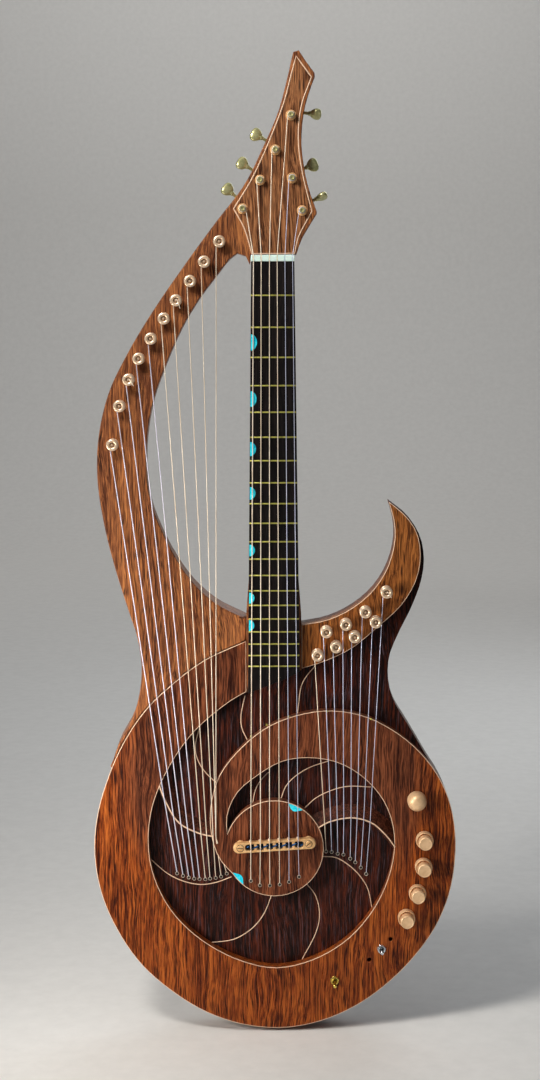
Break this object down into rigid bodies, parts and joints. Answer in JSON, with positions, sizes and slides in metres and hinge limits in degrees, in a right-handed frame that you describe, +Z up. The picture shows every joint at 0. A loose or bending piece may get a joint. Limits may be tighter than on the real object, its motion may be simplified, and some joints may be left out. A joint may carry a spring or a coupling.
{
  "type": "electric harp guitar",
  "caption": "Solid-body electric harp guitar with a spiral carved plate, harp arm, curved horn, fretted neck, tuning pegs and turning controls.",
  "frame": {"origin": "on the flat back face, straight behind the centre of the bridge disc", "axes": "+X to the right seen from the front, +Y out of the flat back, +Z up along the neck; the front faces -Y"},
  "size_m": [0.396, 0.0686, 1.0581],
  "materials": {
    "rosewood": "satin oiled figured rosewood",
    "arm_wood": "satin oiled rosewood",
    "floor_wood": "dark satin rosewood",
    "ebony": "dark open-grained ebony",
    "gold": "warm polished gold plate",
    "aged_gold": "aged greenish gold plate",
    "chrome": "polished",
    "knob_metal": "satin champagne gold",
    "nut_bone": "pale mother-of-pearl white",
    "cover_plastic": "fine matt",
    "circuit": "lacquered board",
    "binding": "thin pale maple binding and purfling",
    "turquoise": "polished turquoise inlay",
    "steel_string": "plain and silver wound string",
    "bronze_string": "bronze wound string"
  },
  "bodies": {
    "root": {"body_core": "floor_wood", "spiral_top": "rosewood", "horn_top": "rosewood", "harp_arm": "arm_wood", "neck": "arm_wood", "fingerboard": "ebony", "nut": "nut_bone", "bridge": "gold", "bass_saddle_ridge": "rosewood", "treble_saddle_ridge": "rosewood", "control_cover": "cover_plastic", "preamp_board": "circuit", "output_jack": "chrome", "tuner_housing_low_e": "aged_gold", "tuner_housing_a": "aged_gold", "tuner_housing_d": "aged_gold", "tuner_housing_g": "aged_gold", "tuner_housing_b": "aged_gold", "tuner_housing_high_e": "aged_gold"},
    "bass_peg_1": {"bass_peg_1": "gold"},
    "bass_peg_2": {"bass_peg_2": "gold"},
    "bass_peg_3": {"bass_peg_3": "gold"},
    "bass_peg_4": {"bass_peg_4": "gold"},
    "bass_peg_5": {"bass_peg_5": "gold"},
    "bass_peg_6": {"bass_peg_6": "gold"},
    "bass_peg_7": {"bass_peg_7": "gold"},
    "bass_peg_8": {"bass_peg_8": "gold"},
    "bass_peg_9": {"bass_peg_9": "gold"},
    "bass_peg_10": {"bass_peg_10": "gold"},
    "treble_peg_1": {"treble_peg_1": "gold"},
    "treble_peg_2": {"treble_peg_2": "gold"},
    "treble_peg_3": {"treble_peg_3": "gold"},
    "treble_peg_4": {"treble_peg_4": "gold"},
    "treble_peg_5": {"treble_peg_5": "gold"},
    "treble_peg_6": {"treble_peg_6": "gold"},
    "treble_peg_7": {"treble_peg_7": "gold"},
    "treble_peg_8": {"treble_peg_8": "gold"},
    "tuner_button_low_e": {"tuner_button_low_e": "aged_gold"},
    "tuner_post_low_e": {"tuner_post_low_e": "aged_gold"},
    "tuner_button_a": {"tuner_button_a": "aged_gold"},
    "tuner_post_a": {"tuner_post_a": "aged_gold"},
    "tuner_button_d": {"tuner_button_d": "aged_gold"},
    "tuner_post_d": {"tuner_post_d": "aged_gold"},
    "tuner_button_g": {"tuner_button_g": "aged_gold"},
    "tuner_post_g": {"tuner_post_g": "aged_gold"},
    "tuner_button_b": {"tuner_button_b": "aged_gold"},
    "tuner_post_b": {"tuner_post_b": "aged_gold"},
    "tuner_button_high_e": {"tuner_button_high_e": "aged_gold"},
    "tuner_post_high_e": {"tuner_post_high_e": "aged_gold"},
    "volume_knob": {"volume_knob": "knob_metal"},
    "outer_knob_1": {"outer_knob_1": "knob_metal"},
    "inner_knob_1": {"inner_knob_1": "knob_metal"},
    "outer_knob_2": {"outer_knob_2": "knob_metal"},
    "inner_knob_2": {"inner_knob_2": "knob_metal"},
    "outer_knob_3": {"outer_knob_3": "knob_metal"},
    "inner_knob_3": {"inner_knob_3": "knob_metal"},
    "outer_knob_4": {"outer_knob_4": "knob_metal"},
    "inner_knob_4": {"inner_knob_4": "knob_metal"},
    "silver_toggle": {"silver_toggle": "chrome"},
    "gold_toggle": {"gold_toggle": "gold"}
  },
  "joints": [
    {"name": "bass_peg_1_turn", "type": "hinge", "parent": "root", "child": "bass_peg_1", "pos_m": [-0.171, -0.047, 0.444], "axis": [0, -1, 0], "continuous": true},
    {"name": "bass_peg_2_turn", "type": "hinge", "parent": "root", "child": "bass_peg_2", "pos_m": [-0.163, -0.047, 0.485], "axis": [0, -1, 0], "continuous": true},
    {"name": "bass_peg_3_turn", "type": "hinge", "parent": "root", "child": "bass_peg_3", "pos_m": [-0.153, -0.047, 0.513], "axis": [0, -1, 0], "continuous": true},
    {"name": "bass_peg_4_turn", "type": "hinge", "parent": "root", "child": "bass_peg_4", "pos_m": [-0.142, -0.047, 0.535], "axis": [0, -1, 0], "continuous": true},
    {"name": "bass_peg_5_turn", "type": "hinge", "parent": "root", "child": "bass_peg_5", "pos_m": [-0.129, -0.047, 0.556], "axis": [0, -1, 0], "continuous": true},
    {"name": "bass_peg_6_turn", "type": "hinge", "parent": "root", "child": "bass_peg_6", "pos_m": [-0.115, -0.047, 0.577], "axis": [0, -1, 0], "continuous": true},
    {"name": "bass_peg_7_turn", "type": "hinge", "parent": "root", "child": "bass_peg_7", "pos_m": [-0.102, -0.047, 0.596], "axis": [0, -1, 0], "continuous": true},
    {"name": "bass_peg_8_turn", "type": "hinge", "parent": "root", "child": "bass_peg_8", "pos_m": [-0.087, -0.047, 0.616], "axis": [0, -1, 0], "continuous": true},
    {"name": "bass_peg_9_turn", "type": "hinge", "parent": "root", "child": "bass_peg_9", "pos_m": [-0.072, -0.047, 0.636], "axis": [0, -1, 0], "continuous": true},
    {"name": "bass_peg_10_turn", "type": "hinge", "parent": "root", "child": "bass_peg_10", "pos_m": [-0.056, -0.047, 0.657], "axis": [0, -1, 0], "continuous": true},
    {"name": "treble_peg_1_turn", "type": "hinge", "parent": "root", "child": "treble_peg_1", "pos_m": [0.047, -0.049, 0.2165], "axis": [0, -1, 0], "continuous": true},
    {"name": "treble_peg_2_turn", "type": "hinge", "parent": "root", "child": "treble_peg_2", "pos_m": [0.0565, -0.049, 0.242], "axis": [0, -1, 0], "continuous": true},
    {"name": "treble_peg_3_turn", "type": "hinge", "parent": "root", "child": "treble_peg_3", "pos_m": [0.067, -0.049, 0.2255], "axis": [0, -1, 0], "continuous": true},
    {"name": "treble_peg_4_turn", "type": "hinge", "parent": "root", "child": "treble_peg_4", "pos_m": [0.0775, -0.049, 0.25], "axis": [0, -1, 0], "continuous": true},
    {"name": "treble_peg_5_turn", "type": "hinge", "parent": "root", "child": "treble_peg_5", "pos_m": [0.087, -0.049, 0.2365], "axis": [0, -1, 0], "continuous": true},
    {"name": "treble_peg_6_turn", "type": "hinge", "parent": "root", "child": "treble_peg_6", "pos_m": [0.0985, -0.049, 0.2635], "axis": [0, -1, 0], "continuous": true},
    {"name": "treble_peg_7_turn", "type": "hinge", "parent": "root", "child": "treble_peg_7", "pos_m": [0.1095, -0.049, 0.2525], "axis": [0, -1, 0], "continuous": true},
    {"name": "treble_peg_8_turn", "type": "hinge", "parent": "root", "child": "treble_peg_8", "pos_m": [0.121, -0.049, 0.285], "axis": [0, -1, 0], "continuous": true},
    {"name": "tuner_button_low_e_turn", "type": "hinge", "parent": "root", "child": "tuner_button_low_e", "pos_m": [-0.02764, -0.0255, 0.6956], "axis": [-0.766, 0, 0.6428], "continuous": true},
    {"name": "tuner_post_low_e_turn", "type": "hinge", "parent": "root", "child": "tuner_post_low_e", "pos_m": [-0.0315, -0.047, 0.691], "axis": [0, -1, 0], "continuous": true},
    {"name": "tuner_button_a_turn", "type": "hinge", "parent": "root", "child": "tuner_button_a", "pos_m": [-0.00982, -0.0255, 0.72559], "axis": [-0.848, 0, 0.5299], "continuous": true},
    {"name": "tuner_post_a_turn", "type": "hinge", "parent": "root", "child": "tuner_post_a", "pos_m": [-0.013, -0.047, 0.7205], "axis": [0, -1, 0], "continuous": true},
    {"name": "tuner_button_d_turn", "type": "hinge", "parent": "root", "child": "tuner_button_d", "pos_m": [0.00582, -0.0255, 0.7568], "axis": [-0.8829, 0, 0.4695], "continuous": true},
    {"name": "tuner_post_d_turn", "type": "hinge", "parent": "root", "child": "tuner_post_d", "pos_m": [0.003, -0.047, 0.7515], "axis": [0, -1, 0], "continuous": true},
    {"name": "tuner_button_g_turn", "type": "hinge", "parent": "root", "child": "tuner_button_g", "pos_m": [0.02013, -0.0255, 0.79297], "axis": [0.9945, 0, -0.1045], "continuous": true},
    {"name": "tuner_post_g_turn", "type": "hinge", "parent": "root", "child": "tuner_post_g", "pos_m": [0.0195, -0.047, 0.787], "axis": [0, -1, 0], "continuous": true},
    {"name": "tuner_button_b_turn", "type": "hinge", "parent": "root", "child": "tuner_button_b", "pos_m": [0.01835, -0.0255, 0.7281], "axis": [0.9336, 0, 0.3584], "continuous": true},
    {"name": "tuner_post_b_turn", "type": "hinge", "parent": "root", "child": "tuner_post_b", "pos_m": [0.0205, -0.047, 0.7225], "axis": [0, -1, 0], "continuous": true},
    {"name": "tuner_button_high_e_turn", "type": "hinge", "parent": "root", "child": "tuner_button_high_e", "pos_m": [0.02866, -0.0255, 0.69452], "axis": [0.9205, 0, 0.3907], "continuous": true},
    {"name": "tuner_post_high_e_turn", "type": "hinge", "parent": "root", "child": "tuner_post_high_e", "pos_m": [0.031, -0.047, 0.689], "axis": [0, -1, 0], "continuous": true},
    {"name": "volume_knob_turn", "type": "hinge", "parent": "root", "child": "volume_knob", "pos_m": [0.15535, -0.049, 0.0541], "axis": [0, -1, 0], "range_deg": [-150, 150]},
    {"name": "outer_knob_1_turn", "type": "hinge", "parent": "root", "child": "outer_knob_1", "pos_m": [0.16419, -0.049, 0.01004], "axis": [0, -1, 0], "range_deg": [-150, 150]},
    {"name": "inner_knob_1_turn", "type": "hinge", "parent": "root", "child": "inner_knob_1", "pos_m": [0.16419, -0.049, 0.01004], "axis": [0, -1, 0], "range_deg": [-150, 150]},
    {"name": "outer_knob_2_turn", "type": "hinge", "parent": "root", "child": "outer_knob_2", "pos_m": [0.16327, -0.049, -0.02005], "axis": [0, -1, 0], "range_deg": [-150, 150]},
    {"name": "inner_knob_2_turn", "type": "hinge", "parent": "root", "child": "inner_knob_2", "pos_m": [0.16327, -0.049, -0.02005], "axis": [0, -1, 0], "range_deg": [-150, 150]},
    {"name": "outer_knob_3_turn", "type": "hinge", "parent": "root", "child": "outer_knob_3", "pos_m": [0.15671, -0.049, -0.05001], "axis": [0, -1, 0], "range_deg": [-150, 150]},
    {"name": "inner_knob_3_turn", "type": "hinge", "parent": "root", "child": "inner_knob_3", "pos_m": [0.15671, -0.049, -0.05001], "axis": [0, -1, 0], "range_deg": [-150, 150]},
    {"name": "outer_knob_4_turn", "type": "hinge", "parent": "root", "child": "outer_knob_4", "pos_m": [0.14484, -0.049, -0.07799], "axis": [0, -1, 0], "range_deg": [-150, 150]},
    {"name": "inner_knob_4_turn", "type": "hinge", "parent": "root", "child": "inner_knob_4", "pos_m": [0.14484, -0.049, -0.07799], "axis": [0, -1, 0], "range_deg": [-150, 150]},
    {"name": "silver_toggle_flick", "type": "hinge", "parent": "root", "child": "silver_toggle", "pos_m": [0.11773, -0.0518, -0.11489], "axis": [1, 0, 0], "range_deg": [-12, 12]},
    {"name": "gold_toggle_flick", "type": "hinge", "parent": "root", "child": "gold_toggle", "pos_m": [0.06612, -0.0518, -0.15063], "axis": [1, 0, 0], "range_deg": [-26, 0]}
  ],
  "couplings": [
    {"joint": "tuner_post_low_e_turn", "follows": "tuner_button_low_e_turn", "ratio": 0.071429},
    {"joint": "tuner_post_a_turn", "follows": "tuner_button_a_turn", "ratio": 0.071429},
    {"joint": "tuner_post_d_turn", "follows": "tuner_button_d_turn", "ratio": 0.071429},
    {"joint": "tuner_post_g_turn", "follows": "tuner_button_g_turn", "ratio": 0.071429},
    {"joint": "tuner_post_b_turn", "follows": "tuner_button_b_turn", "ratio": 0.071429},
    {"joint": "tuner_post_high_e_turn", "follows": "tuner_button_high_e_turn", "ratio": 0.071429}
  ]
}
